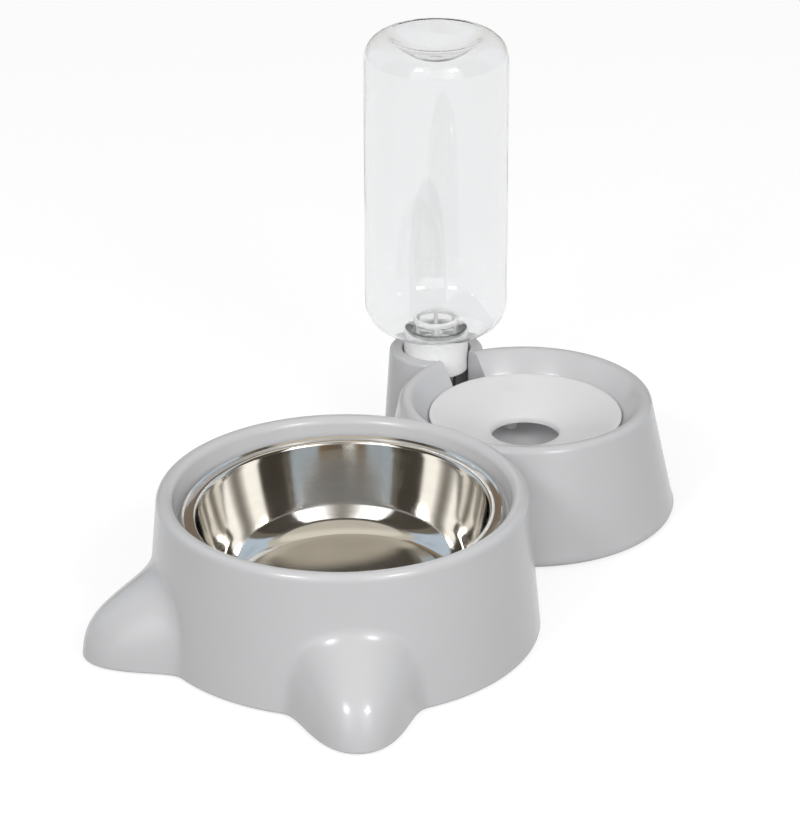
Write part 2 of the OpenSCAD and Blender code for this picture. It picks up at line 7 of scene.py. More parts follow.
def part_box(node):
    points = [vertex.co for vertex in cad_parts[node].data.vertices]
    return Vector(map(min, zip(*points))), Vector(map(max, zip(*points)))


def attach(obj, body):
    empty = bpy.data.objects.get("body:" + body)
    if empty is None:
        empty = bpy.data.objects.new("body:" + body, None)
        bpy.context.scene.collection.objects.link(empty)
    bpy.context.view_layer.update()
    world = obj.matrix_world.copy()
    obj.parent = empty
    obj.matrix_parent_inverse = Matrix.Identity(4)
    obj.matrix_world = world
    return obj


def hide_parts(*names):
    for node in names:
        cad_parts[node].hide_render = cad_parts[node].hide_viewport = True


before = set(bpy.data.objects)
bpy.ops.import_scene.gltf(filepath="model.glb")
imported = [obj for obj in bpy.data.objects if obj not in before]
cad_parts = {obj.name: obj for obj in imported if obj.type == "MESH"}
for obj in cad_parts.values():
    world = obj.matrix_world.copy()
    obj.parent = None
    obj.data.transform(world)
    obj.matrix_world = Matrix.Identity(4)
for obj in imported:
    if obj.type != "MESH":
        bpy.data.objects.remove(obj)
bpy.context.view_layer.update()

bl_info = {
    "name": "Double Pet Bowl",
    "version": (1, 0, 0),
    "blender": (4, 5, 0),
    "location": "View3D > Sidebar > Pet Bowl",
    "description": "Models a double pet bowl with a steel food bowl and a bottle-fed water bowl",
    "category": "Add Mesh",
}

MM = 0.001
WELD = 0.002 * MM
OVERRUN = 2 * MM
BESIDE = 0.3 * MM


def length(name, description, size):
    """A size that a user may change, given here in millimetres."""
    return bpy.props.FloatProperty(
        name=name, description=description, default=size * MM, min=0, precision=5, unit="LENGTH")


def angle(name, description, degrees):
    """An angle that a user may change, given here in degrees."""
    return bpy.props.FloatProperty(
        name=name, description=description, default=math.radians(degrees), subtype="ANGLE")


def share(name, description, value):
    """A number between nought and one that a user may change."""
    return bpy.props.FloatProperty(name=name, description=description, default=value, min=0, max=1)


def colour(name, description, value):
    """A colour that a user may change."""
    return bpy.props.FloatVectorProperty(
        name=name, description=description, default=value, size=3, min=0, max=1, subtype="COLOR")


# Places and sizes that the frame gives


def middle(node):
    """Centre of a node's box in plan."""
    low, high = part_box(node)
    return Vector(((low.x + high.x) / 2, (low.y + high.y) / 2, 0))


WATER_AT = middle("splash_ring")
BOTTLE_AT = middle("water_bottle")
FEET = [name for name in sorted(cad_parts) if name.startswith("foot_")]
BOTTLE_LOW, BOTTLE_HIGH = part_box("water_bottle")
RING_LOW, RING_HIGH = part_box("splash_ring")
CAP_LOW, CAP_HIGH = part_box("bottle_cap")
FOOT_LOW, FOOT_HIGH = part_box("foot_1")


class HousingSettings(bpy.types.PropertyGroup):
    """Sizes and finish of the moulded housing."""

    bowl_pitch: length("Bowl pitch", "Distance between the axes of the two bowls", 146.4)
    ground_gap: length("Ground gap", "Height of the bottom edge above the ground", 1)
    wall: length("Wall", "Thickness of the wall", 2.6)
    food_base_r: length("Food base radius", "Radius of the food housing at its bottom edge", 87.2)
    food_top_r: length("Food top radius", "Radius of the food housing below its lip", 81.5)
    food_h: length("Food height", "Height of the food housing's lip", 65.3)
    food_lip_r: length("Food lip radius", "Rounding of the food housing's lip", 3.6)
    food_well_r: length("Well radius", "Radius of the well at the steel bowl's ledge", 72.9)
    seat_h: length("Ledge height", "Height of the ledge on the bowl's axis", 53.9)
    seat_tilt: angle("Ledge lean", "Lean of the ledge towards the ears", 2.1)
    ledge_r: length("Ledge radius", "Radius of the opening in the ledge", 66.8)
    skirt_depth: length("Skirt depth", "Depth of the skirt below the ledge", 26)
    ear_angle: angle("Ear angle", "Angle between an ear and the long axis", 39)
    ear_reach: length("Ear reach", "Reach of an ear beyond the wall", 30.5)
    ear_h: length("Ear height", "Height at which an ear has blended into the wall", 42)
    ear_half_angle: angle("Ear half angle", "Half of the angle that an ear takes on the wall", 21)
    water_base_r: length("Water base radius", "Radius of the water housing at its bottom edge", 70.3)
    water_h: length("Water height", "Height of the water housing's lip", 55.3)
    water_crest_r: length("Water crest radius", "Radius of the circle along the lip's crest", 55.6)
    water_lip_r: length("Water lip radius", "Rounding of the water housing's lip", 3.7)
    tray_top_r: length("Tray radius", "Radius of the tray at the splash ring's edge", 46)
    tray_floor_h: length("Tray floor", "Height of the tray's floor", 22)
    collar_h: length("Collar height", "Height of the bottle's collar", 54)
    collar_top_r: length("Collar top radius", "Outer radius of the collar at its top", 22.4)
    collar_base_r: length("Collar base radius", "Outer radius of the collar at its foot", 25.8)
    socket_gap: length("Socket gap", "Gap between the cap and the socket", 1)
    slot_w: length("Slot width", "Width of the slot between the socket and the tray", 19)
    tint: colour("Colour", "Colour of the moulding", (0.53, 0.53, 0.54))


class SteelBowlSettings(bpy.types.PropertyGroup):
    """Sizes and finish of the steel food bowl."""

    rim_r: length("Rim radius", "Outer radius of the rolled rim", 71)
    roll_r: length("Roll radius", "Radius of the rolled edge", 1.3)
    mouth_r: length("Mouth radius", "Inner radius at the mouth", 64.3)
    foot_r: length("Foot radius", "Inner radius where the wall turns into the floor", 56)
    corner_r: length("Corner radius", "Inner rounding between the wall and the floor", 16)
    depth: length("Depth", "Inner depth below the flange", 38)
    sheet: length("Sheet", "Thickness of the sheet", 0.8)
    tint: colour("Colour", "Colour of the polished steel", (0.71, 0.69, 0.65))


class SplashRingSettings(bpy.types.PropertyGroup):
    """Sizes and finish of the splash ring."""

    hole_r: length("Hole radius", "Radius of the drinking hole", 15.8)
    fall: length("Fall", "Fall of the funnel from its edge to the hole", 11)
    thickness: length("Thickness", "Thickness of the ring", 2)
    leg_r: length("Leg radius", "Radius of each leg", 3.8)
    tint: colour("Colour", "Colour of the moulding", (0.9, 0.9, 0.905))


class BottleSettings(bpy.types.PropertyGroup):
    """Sizes and finish of the bottle, its cap and the valve."""

    shoulder_h: length("Shoulder height", "Height of the lowest point of the shoulder", 64.3)
    shoulder_r: length("Shoulder radius", "Rounding of the shoulder", 15)
    heel_r: length("Heel radius", "Rounding of the base", 11.5)
    punt_depth: length("Dent depth", "Depth of the dent in the base", 9)
    wall: length("Wall", "Thickness of the bottle's wall", 0.8)
    neck_r: length("Neck radius", "Outer radius of the neck", 13.4)
    neck_bore_r: length("Neck bore radius", "Radius of the neck's bore", 11.3)
    neck_l: length("Neck length", "Length of the neck below the shoulder", 16.7)
    spout_l: length("Spout length", "Length of the cap's spout", 9.5)
    deck_t: length("Deck thickness", "Thickness of the cap's deck", 2.2)
    seat_bore_r: length("Seat bore radius", "Radius of the valve seat's bore", 4.6)
    bottle_tint: colour("Bottle colour", "Colour of the clear plastic", (0.925, 0.928, 0.932))
    cap_tint: colour("Cap colour", "Colour of the cap", (0.92, 0.92, 0.92))


class FeetSettings(bpy.types.PropertyGroup):
    """Finish of the rubber feet."""

    edge: length("Edge", "Rounding of each foot's edge", 0.4)
    tint: colour("Colour", "Colour of the rubber", (0.1, 0.1, 0.11))


class StageSettings(bpy.types.PropertyGroup):
    """Floor, light and camera."""

    floor_size: length("Floor size", "Side of the floor", 24000)
    floor_tint: colour("Floor colour", "Colour of the floor", (0.3, 0.3, 0.3))
    floor_glow: share("Floor glow", "How much paler the floor looks to the camera", 0.75)
    sky_strength: bpy.props.FloatProperty(
        name="Sky strength", description="Strength of the white sky as a light", default=0.55, min=0)
    lamp_power: bpy.props.FloatProperty(
        name="Lamp power", description="Power of each soft lamp", default=6.0, min=0, subtype="POWER")


# Selecting and shaping


def deselect():
    """Leaves edit mode and selects nothing."""
    if bpy.context.object is not None and bpy.context.object.mode != "OBJECT":
        bpy.ops.object.mode_set(mode="OBJECT")
    bpy.ops.object.select_all(action="DESELECT")


def choose(piece):
    """Makes one piece the selected and active one."""
    deselect()
    piece.select_set(True)
    bpy.context.view_layer.objects.active = piece


def edit(piece):
    """Opens one piece in edit mode with all of it selected."""
    choose(piece)
    bpy.ops.object.mode_set(mode="EDIT")
    bpy.ops.mesh.select_all(action="SELECT")


def settle(piece):
    """Puts a piece's place into its mesh."""
    choose(piece)
    bpy.ops.object.transform_apply(location=True, rotation=True, scale=True)
    return piece


def arc(x, z, radius, start, end, steps):
    """Points of an arc about (x, z), in (radius, height), from start to end in degrees."""
    turns = [math.radians(start + (end - start) * i / steps) for i in range(steps + 1)]
    return [(x + radius * math.cos(a), z + radius * math.sin(a)) for a in turns]


def climb(low, high, steps):
    """Points of a straight flank from low to high, both included."""
    (r0, z0), (r1, z1) = low, high
    return [(r0 + (r1 - r0) * i / steps, z0 + (z1 - z0) * i / steps) for i in range(steps + 1)]


def lathe(name, outline, centre, steps):
    """Spins an outline of (radius, height) points about the upright line through centre."""
    deselect()
    (r, z), *rest = outline
    bpy.ops.mesh.primitive_plane_add(size=MM, location=(centre.x + r, centre.y, z))
    piece = bpy.context.object
    piece.name = piece.data.name = name
    bpy.ops.object.transform_apply(location=True)
    bpy.ops.object.mode_set(mode="EDIT")
    bpy.ops.mesh.merge(type="CENTER")
    for next_r, next_z in rest:
        bpy.ops.mesh.extrude_vertices_move(
            TRANSFORM_OT_translate={"value": (next_r - r, 0, next_z - z)})
        r, z = next_r, next_z
    bpy.ops.mesh.select_all(action="SELECT")
    bpy.ops.mesh.spin(steps=steps, angle=math.tau, center=centre, axis=(0, 0, 1))
    bpy.ops.mesh.select_all(action="SELECT")
    bpy.ops.mesh.remove_doubles(threshold=WELD)
    bpy.ops.mesh.normals_make_consistent(inside=False)
    bpy.ops.object.mode_set(mode="OBJECT")
    return piece


def block(name, centre, turn, low, high):
    """A box between two corners given in a frame at centre that is turned about the upright."""
    deselect()
    low, high = Vector(low), Vector(high)
    place = centre + Matrix.Rotation(turn, 3, "Z") @ ((low + high) / 2)
    bpy.ops.mesh.primitive_cube_add(size=1, location=place, rotation=(0, 0, turn), scale=high - low)
    piece = bpy.context.object
    piece.name = piece.data.name = name
    return settle(piece)


def combine(piece, other, operation):
    """Joins, cuts or crosses a piece with another, which is used up."""
    choose(piece)
    bpy.ops.object.modifier_add(type="BOOLEAN")
    modifier = piece.modifiers[-1]
    modifier.operation = operation
    modifier.solver = "MANIFOLD"
    modifier.object = other
    bpy.ops.object.modifier_apply(modifier=modifier.name)
    bpy.data.objects.remove(other)
    return piece


def union(piece, *others):
    """Adds each other piece to the first."""
    for other in others:
        combine(piece, other, "UNION")
    return piece


def difference(piece, *others):
    """Takes each other piece out of the first."""
    for other in others:
        combine(piece, other, "DIFFERENCE")
    return piece


def smooth(piece, degrees):
    """Shades a piece smooth but for edges sharper than an angle."""
    choose(piece)
    bpy.ops.object.shade_smooth_by_angle(angle=math.radians(degrees))
    return piece


def soften(piece, width, degrees, segments=2):
    """Rounds a piece's sharp edges."""
    choose(piece)
    bpy.ops.object.modifier_add(type="BEVEL")
    modifier = piece.modifiers[-1]
    modifier.width = width
    modifier.segments = segments
    modifier.limit_method = "ANGLE"
    modifier.angle_limit = math.radians(degrees)
    modifier.use_clamp_overlap = True
    bpy.ops.object.modifier_apply(modifier=modifier.name)
    return piece


def dress(piece, material, slot, body, *nodes):
    """Gives a finished piece its material and its body, and hides the nodes that it stands for. The slot is
    not used.
    """
    piece.data.materials.clear()
    piece.data.materials.append(material)
    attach(piece, body)
    if nodes:
        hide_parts(*nodes)
    return piece


def copy_node(name, node):
    """A welded copy of a node's mesh, with its flat faces whole again."""
    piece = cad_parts[node].copy()
    piece.data = piece.data.copy()
    for key in list(piece.keys()):
        del piece[key]
    piece.parent = None
    piece.name = piece.data.name = name
    bpy.context.scene.collection.objects.link(piece)
    edit(piece)
    bpy.ops.mesh.remove_doubles(threshold=WELD)
    bpy.ops.mesh.dissolve_limited(angle_limit=math.radians(0.5))
    bpy.ops.object.mode_set(mode="OBJECT")
    return piece


# Materials


class Link:
    """A shader socket that takes part in Python arithmetic."""

    def __init__(self, paint, socket):
        self.paint = paint
        self.socket = socket

    def calc(self, operation, *values):
        return self.paint.node("Math", {"operation": operation}, values)

    def __add__(self, other):
        return self.calc("ADD", self, other)

    __radd__ = __add__

    def __sub__(self, other):
        return self.calc("SUBTRACT", self, other)

    def __rsub__(self, other):
        return self.calc("SUBTRACT", other, self)

    def __mul__(self, other):
        return self.calc("MULTIPLY", self, other)

    def most(self, other):
        return self.calc("MAXIMUM", self, other)

    def clamped(self):
        return self.calc("MINIMUM", self.calc("MAXIMUM", self, 0), 1)


class Paint:
    """A node material in the making."""

    def __init__(self, tree):
        self.tree = tree
        self.tree.nodes.clear()

    def node(self, kind, settings=None, values=(), out=0):
        """Adds a node, sets it, fills its sockets by place or name, and gives back one output."""
        made = self.tree.nodes.new("ShaderNode" + kind)
        for key, value in (settings or {}).items():
            setattr(made, key, value)
        pairs = values.items() if isinstance(values, dict) else enumerate(values)
        for key, value in pairs:
            if isinstance(value, Link):
                self.tree.links.new(value.socket, made.inputs[key])
            else:
                made.inputs[key].default_value = value
        return Link(self, made.outputs[out])

    def show(self, surface, kind="OutputMaterial"):
        """Ends the tree in an output node."""
        output = self.tree.nodes.new("ShaderNode" + kind)
        self.tree.links.new(surface.socket, output.inputs["Surface"])

    def place(self, centre=(0, 0, 0), scale=(1, 1, 1)):
        """Object coordinates about a centre."""
        where = self.node("TexCoord", out="Object")
        moved = self.vector("SUBTRACT", where, centre)
        return self.vector("MULTIPLY", moved, scale)

    def vector(self, operation, *values, out=0):
        """Vector arithmetic."""
        return self.node("VectorMath", {"operation": operation}, values, out)

    def plan_radius(self, where):
        """Distance from the upright line that the coordinates are about."""
        return self.vector("LENGTH", self.vector("MULTIPLY", where, (1, 1, 0)), out="Value")

    def along(self, where, way):
        """How far a place lies in a direction."""
        return self.vector("DOT_PRODUCT", where, tuple(way), out="Value")

    def noise(self, where, scale, detail=2, roughness=0.5):
        """Smooth noise about a half, with a grain of 1 / scale metres."""
        return self.node("TexNoise", None,
            {"Vector": where, "Scale": scale, "Detail": detail, "Roughness": roughness}, "Fac")

    def blend(self, factor, first, second):
        """A colour between two colours."""
        return self.node("Mix", {"data_type": "RGBA"}, {0: factor, 6: first, 7: second}, 2)

    def vary(self, factor, tint, low, high):
        """A colour that goes from darker to paler."""
        return self.blend(factor, shade_of(tint, low), shade_of(tint, high))

    def bump(self, height, distance, strength):
        """A normal that follows a height."""
        return self.node("Bump", None,
            {"Height": height, "Distance": distance, "Strength": strength})


def blank(data):
    """The emptied node tree of a material or a world."""
    data.use_nodes = True
    return Paint(data.node_tree)


def shader(name, build, fixed, through=0):
    """A principled material: build gives the sockets that vary and fixed the rest. Some light may pass."""
    material = bpy.data.materials.new(name)
    paint = blank(material)
    values = dict(fixed)
    values.update(build(paint))
    surface = paint.node("BsdfPrincipled", None, values)
    if through:
        leak = paint.node("BsdfTranslucent", None, [(1, 1, 1, 1)])
        surface = paint.node("MixShader", None, [through, surface, leak])
    paint.show(surface)
    return material


def shade_of(tint, factor):
    """A colour made darker or paler by a factor."""
    return (*(min(1, c * factor) for c in tint), 1)


MOULD_GRAIN = 0.02 * MM


def moulded(name, tint, gloss, grain, through=0):
    """Glossy injection-moulded plastic: a faint ripple, fine haze and slight mottling."""

    def build(paint):
        where = paint.place()
        mottle = paint.noise(where, 28, 3)
        haze = paint.noise(where, 210, 4, 0.6)
        ripple = paint.noise(where, 900, 2)
        rub = (paint.noise(paint.place(scale=(1, 1, 7)), 420, 2) - 0.62).clamped() * 1.6
        return {
            "Base Color": paint.vary(mottle, tint, 0.975, 1.02),
            "Roughness": gloss + (haze - 0.5) * 0.1 + rub * 0.25,
            "Normal": paint.bump(ripple, grain, 0.25),
        }

    return shader(name, build, {"IOR": 1.46, "Specular IOR Level": 0.5}, through)


FLOOR_FADE = 2.5 * MM


def polished_steel(name, tint, centre, floor_z):
    """Polished sheet with the fine rings that the spinning and the buffing leave, duller on its floor."""

    def build(paint):
        where = paint.place(centre)
        height = paint.node("SeparateXYZ", None, [where], "Z")
        along = paint.node("CombineXYZ", None, [paint.plan_radius(where), height * 1.3, 0])
        rings = paint.noise(along, 2600, 3, 0.7)
        broad = paint.noise(along, 420, 2)
        smear = paint.noise(where, 60, 3)
        low = ((floor_z - height) * (1 / FLOOR_FADE)).clamped()
        return {
            "Base Color": paint.vary(broad, tint, 0.96, 1.03),
            "Roughness": 0.045 + rings * 0.05 + (smear - 0.45).clamped() * 0.12 + low * 0.05,
            "Normal": paint.bump(rings + broad * 2, 0.004 * MM, 0.35),
        }

    return shader(name, build, {"Metallic": 1.0})


def clear_plastic(name, tint):
    """Clear blown plastic with faint waves, which lets most of the light through its shadow."""
    material = bpy.data.materials.new(name)
    paint = blank(material)
    waves = paint.noise(paint.place(scale=(1, 1, 0.22)), 95, 2)
    fine = paint.noise(paint.place(), 260, 2)
    surface = paint.node("BsdfPrincipled", None, {
        "Base Color": paint.vary(waves, tint, 0.985, 1),
        "Roughness": 0.015 + (fine - 0.4).clamped() * 0.06,
        "Normal": paint.bump(waves, 0.25 * MM, 0.3),
        "IOR": 1.5, "Transmission Weight": 1.0})
    through = paint.node("BsdfTransparent", None, [shade_of(tint, 1)])
    shadow = paint.node("LightPath", out="Is Shadow Ray")
    paint.show(paint.node("MixShader", None, [shadow * 0.9, surface, through]))
    return material


def rubber(name, tint, roughness):
    """Dull rubber with a fine grain."""

    def build(paint):
        where = paint.place()
        grain = paint.noise(where, 1600, 3, 0.6)
        return {
            "Base Color": paint.vary(paint.noise(where, 240, 2), tint, 0.85, 1.15),
            "Roughness": roughness + (grain - 0.5) * 0.2,
            "Normal": paint.bump(grain, 0.05 * MM, 0.5),
        }

    return shader(name, build, {"IOR": 1.5})


def drawn_wire(name, tint):
    """Spring wire with fine draw lines."""

    def build(paint):
        where = paint.place()
        lines = paint.noise(paint.place(scale=(1, 1, 6)), 2400, 3)
        return {
            "Base Color": paint.vary(paint.noise(where, 500, 2), tint, 0.85, 1.05),
            "Roughness": 0.22 + lines * 0.15,
            "Normal": paint.bump(lines, 0.01 * MM, 0.4),
        }

    return shader(name, build, {"Metallic": 1.0})


# Housing

EDGE_ROUND = 0.8 * MM
BASE_ROUND = 1.6 * MM
LIP_LAND = 0.2 * MM
LEDGE_T = 2.8 * MM
LEDGE_ROUND = 0.5 * MM
SKIRT_T = 2.4 * MM
EAR_PLAN_POWER = 1.08
EAR_RISE_POWER = 1.7
EAR_INSET_ANGLE = math.radians(1.3)
EAR_INSET_H = 3 * MM
EAR_ROOT_IN = 4 * MM
BOTTOM_RING_IN = 12 * MM
FLANK_FOOT = 4 * MM
FLANK_TOP = 3 * MM
FOOD_STEPS = 360
FOOD_HOLLOW_STEPS = 180
WATER_STEPS = 224
WATER_HOLLOW_STEPS = 112
COLLAR_STEPS = 128
COLLAR_HOLLOW_STEPS = 64
POST_STEPS = 48
TRAY_EDGE_DROP = 0.6 * MM
TRAY_MID_DROP = 4 * MM
TRAY_MID_IN = 1.5 * MM
TRAY_FOOT_IN = 3.5 * MM
TRAY_FILLET = 3 * MM
TRAY_MARGIN = 2.4 * MM
TRAY_EDGE = ((-0.3 * MM, -0.8 * MM), (0.5 * MM, 0.4 * MM))
LIP_HOLLOW_DROP = 7.3 * MM
SOCKET_T = 2.4 * MM
SOCKET_ROUND = 0.8 * MM
SLOT_REACH = 34.9 * MM
COLLAR_HOLLOW_DROP = 14 * MM
COLLAR_ROUND = 1.6 * MM
COLLAR_FOOT_IN = 0.3 * MM
COLLAR_TOP_OUT = 0.2 * MM
RIB_T = 2 * MM
RIB_IN_R = 11 * MM
PIN_R = 2.5 * MM
PIN_FOOT_R = 5 * MM
PIN_FOOT_H = 6 * MM
PIN_FOOT_ROUND = 0.6 * MM
PIN_DROP = 6.5 * MM
FOOT_FIT = 0.1 * MM
BOSS_WALL = 2 * MM
BOSS_H = 9 * MM


def food_axis():
    """Axis of the food bowl."""
    return WATER_AT - Vector((bpy.context.scene.bowl_housing.bowl_pitch, 0, 0))


def slot_turn():
    """Direction from the bottle to the water bowl."""
    way = WATER_AT - BOTTLE_AT
    return math.atan2(way.y, way.x)


def food_wall_r(s, z):
    """Radius of the food housing's plain wall at a height."""
    return s.food_base_r - (s.food_base_r - s.food_top_r) * z / (s.food_h - s.food_lip_r)


def swell(turn, z, half_angle, height):
    """Swell of an ear: one at its root, nought at its edge."""
    u = min(1, abs(turn) / half_angle) ** (2 * EAR_PLAN_POWER)
    u += min(1, max(0, z) / height) ** (2 * EAR_RISE_POWER)
    return (1 + math.cos(math.pi * min(1, math.sqrt(u)))) / 2


def push_ears(piece, s, inner_r, half_angle, height):
    """Moves the wall's points outwards where the two ears swell."""
    axis = food_axis()
    for vertex in piece.data.vertices:
        out = Vector((vertex.co.x - axis.x, vertex.co.y - axis.y, 0))
        if out.length < inner_r or vertex.co.z > height:
            continue
        turn = math.atan2(out.y, out.x)
        push = 0
        for middle_turn in (math.pi - s.ear_angle, s.ear_angle - math.pi):
            off = (turn - middle_turn + math.pi) % math.tau - math.pi
            push += s.ear_reach * swell(off, vertex.co.z, half_angle, height)
        vertex.co += out.normalized() * push


def lean(piece, s, low):
    """Leans what lies above a height as the ledge leans, in full from the skirt's foot up."""
    axis = food_axis()
    full = s.seat_h - LEDGE_T
    for vertex in piece.data.vertices:
        weight = min(1, max(0, (vertex.co.z - low) / (full - low)))
        if vertex.co.z < s.food_h - s.food_lip_r - MM:
            vertex.co.z += weight * (vertex.co.x - axis.x) * math.tan(s.seat_tilt)


def food_outside(s):
    """The food housing as a full body with its ears."""
    lip_z = s.food_h - s.food_lip_r
    lip = arc(0, 0, 1, 0, 90, 10)
    reach = s.food_lip_r - LIP_LAND
    flank = climb((0, s.ground_gap + 2 * EDGE_ROUND), (0, s.ear_h + MM), 34)
    piece = lathe("food_outside", [
        (0, s.ground_gap),
        (food_wall_r(s, 0) - BOTTOM_RING_IN, s.ground_gap),
        *arc(food_wall_r(s, s.ground_gap) - EDGE_ROUND, s.ground_gap + EDGE_ROUND, EDGE_ROUND, -90, 0, 4),
        *[(food_wall_r(s, z), z) for _, z in flank],
        *[(s.food_top_r - reach * (1 - x), lip_z + s.food_lip_r * z) for x, z in lip],
        (0, s.food_h)], food_axis(), FOOD_STEPS)
    push_ears(piece, s, food_wall_r(s, 0) - EAR_ROOT_IN, s.ear_half_angle, s.ear_h)
    return piece


def food_hollow(s):
    """Hollow between the food housing's wall and its skirt."""
    top = s.seat_h - LEDGE_T
    skirt_foot = s.seat_h - s.skirt_depth
    skirt_r = s.ledge_r + SKIRT_T
    inner = [(food_wall_r(s, z) - s.wall, z) for _, z in climb((0, -OVERRUN), (0, top), 26)]
    piece = lathe("food_hollow", [
        (0, -OVERRUN), *inner, (skirt_r, top), (skirt_r, skirt_foot), (0, skirt_foot)],
        food_axis(), FOOD_HOLLOW_STEPS)
    push_ears(piece, s, skirt_r + MM, s.ear_half_angle - EAR_INSET_ANGLE, s.ear_h - EAR_INSET_H)
    lean(piece, s, skirt_foot)
    return piece


def food_well(s):
    """Well above the ledge and the opening through it."""
    lip_z = s.food_h - s.food_lip_r
    skirt_foot = s.seat_h - s.skirt_depth
    crest_r = s.food_top_r - s.food_lip_r - LIP_LAND
    piece = lathe("food_well", [
        (0, -OVERRUN), (s.ledge_r, -OVERRUN), (s.ledge_r, skirt_foot - OVERRUN),
        *climb((s.ledge_r, skirt_foot), (s.ledge_r, s.seat_h - LEDGE_T), 2),
        *arc(s.ledge_r + LEDGE_ROUND, s.seat_h - LEDGE_ROUND, LEDGE_ROUND, 180, 90, 3),
        *arc(s.food_well_r - LEDGE_ROUND, s.seat_h + LEDGE_ROUND, LEDGE_ROUND, -90, 0, 3),
        *arc(crest_r, lip_z, s.food_lip_r, 180, 90, 12),
        (crest_r, s.food_h + OVERRUN), (0, s.food_h + OVERRUN)], food_axis(), FOOD_STEPS)
    lean(piece, s, skirt_foot - OVERRUN)
    return piece


def water_draft(s):
    """Lean of the water housing's wall from the upright."""
    rise = s.water_h - s.water_lip_r - s.ground_gap
    return math.atan((s.water_base_r - s.water_crest_r - s.water_lip_r) / rise)


def water_outside(s):
    """The water housing as a full body."""
    draft = water_draft(s)
    lip_z = s.water_h - s.water_lip_r
    low = (s.water_base_r - FLANK_FOOT * math.tan(draft), s.ground_gap + FLANK_FOOT)
    high = (s.water_crest_r + s.water_lip_r + FLANK_TOP * math.tan(draft), lip_z - FLANK_TOP)
    return lathe("water_outside", [
        (0, s.ground_gap),
        *arc(s.water_base_r - BASE_ROUND, s.ground_gap + BASE_ROUND, BASE_ROUND, -90, 0, 5),
        *climb(low, high, 8),
        *arc(s.water_crest_r, lip_z, s.water_lip_r, math.degrees(draft), 90, 10),
        (0, s.water_h)], WATER_AT, WATER_STEPS)


def tray_room(s):
    """Room for the water and the splash ring, up to the lip's crest."""
    edge_z = RING_HIGH.z - TRAY_EDGE_DROP
    foot_r = s.tray_top_r - TRAY_FOOT_IN
    return lathe("tray_room", [
        (0, s.tray_floor_h),
        *arc(foot_r - TRAY_FILLET, s.tray_floor_h + TRAY_FILLET, TRAY_FILLET, -90, 0, 6),
        (s.tray_top_r - TRAY_MID_IN, edge_z - TRAY_MID_DROP),
        *[(s.tray_top_r + out, edge_z + up) for out, up in TRAY_EDGE],
        *arc(s.water_crest_r, s.water_h - s.water_lip_r, s.water_lip_r, 140, 90, 8),
        (s.water_crest_r, s.water_h + OVERRUN), (0, s.water_h + OVERRUN)], WATER_AT, WATER_STEPS)


def tray_body(s):
    """What carries the tray inside the water housing's hollow."""
    edge_z = RING_HIGH.z - TRAY_EDGE_DROP
    foot_r = s.tray_top_r - TRAY_FOOT_IN
    return lathe("tray_body", [
        (0, s.tray_floor_h - s.wall),
        (foot_r, s.tray_floor_h - s.wall),
        (foot_r + TRAY_MARGIN, s.tray_floor_h),
        (s.tray_top_r - TRAY_MID_IN + TRAY_MARGIN, edge_z - TRAY_MID_DROP),
        (s.tray_top_r + TRAY_MARGIN, edge_z),
        (s.water_crest_r, s.water_h - s.water_lip_r),
        (s.water_crest_r, s.water_h), (0, s.water_h)], WATER_AT, WATER_HOLLOW_STEPS)


def water_hollow(s):
    """Hollow under the water housing."""
    draft = water_draft(s)
    top = s.water_h - LIP_HOLLOW_DROP
    foot_r = s.water_base_r - s.wall / math.cos(draft)
    return lathe("water_hollow", [
        (0, -OVERRUN),
        (foot_r + (OVERRUN + s.ground_gap) * math.tan(draft), -OVERRUN),
        (foot_r - (top - s.ground_gap) * math.tan(draft), top),
        (0, top)], WATER_AT, WATER_HOLLOW_STEPS)


def collar_outside(s):
    """The bottle's collar as a full body."""
    low = (s.collar_base_r - COLLAR_FOOT_IN, s.ground_gap + FLANK_FOOT)
    high = (s.collar_top_r + COLLAR_TOP_OUT, s.collar_h - FLANK_FOOT)
    return lathe("collar_outside", [
        (0, s.ground_gap), (s.collar_base_r, s.ground_gap),
        *climb(low, high, 4),
        *arc(s.collar_top_r - COLLAR_ROUND, s.collar_h - COLLAR_ROUND, COLLAR_ROUND, 0, 90, 6),
        (0, s.collar_h)], BOTTLE_AT, COLLAR_STEPS)


def collar_hollow(s):
    """Hollow under the collar."""
    top = s.collar_h - COLLAR_HOLLOW_DROP
    slope = (s.collar_base_r - s.collar_top_r) / (s.collar_h - s.ground_gap)
    return lathe("collar_hollow", [
        (0, -OVERRUN),
        (s.collar_base_r - s.wall + slope * (OVERRUN + s.ground_gap), -OVERRUN),
        (s.collar_base_r - s.wall - slope * (top - s.ground_gap), top),
        (0, top)], BOTTLE_AT, COLLAR_HOLLOW_STEPS)


def tube(name, centre, radius, low, high, steps):
    """A plain round body."""
    return lathe(name, [(0, low), (radius, low), (radius, high), (0, high)], centre, steps)


def socket_r(s):
    """Radius of the bottle's socket."""
    return (CAP_HIGH.x - CAP_LOW.x) / 2 + s.socket_gap


def socket_room(s):
    """Bore of the socket, with a rounded mouth."""
    r = socket_r(s)
    mouth_r = r + SOCKET_ROUND
    above = s.collar_h + OVERRUN * 2
    return lathe("socket_room", [
        (0, s.tray_floor_h), (r, s.tray_floor_h),
        *arc(mouth_r, s.collar_h - SOCKET_ROUND, SOCKET_ROUND, 180, 90, 4),
        (mouth_r, above), (0, above)], BOTTLE_AT, COLLAR_STEPS)


def slot_block(s, margin, low, high):
    """The slot between the socket and the tray, grown by a margin."""
    half = s.slot_w / 2 + margin
    return block("slot", BOTTLE_AT, slot_turn(), (0, -half, low), (SLOT_REACH, half, high))


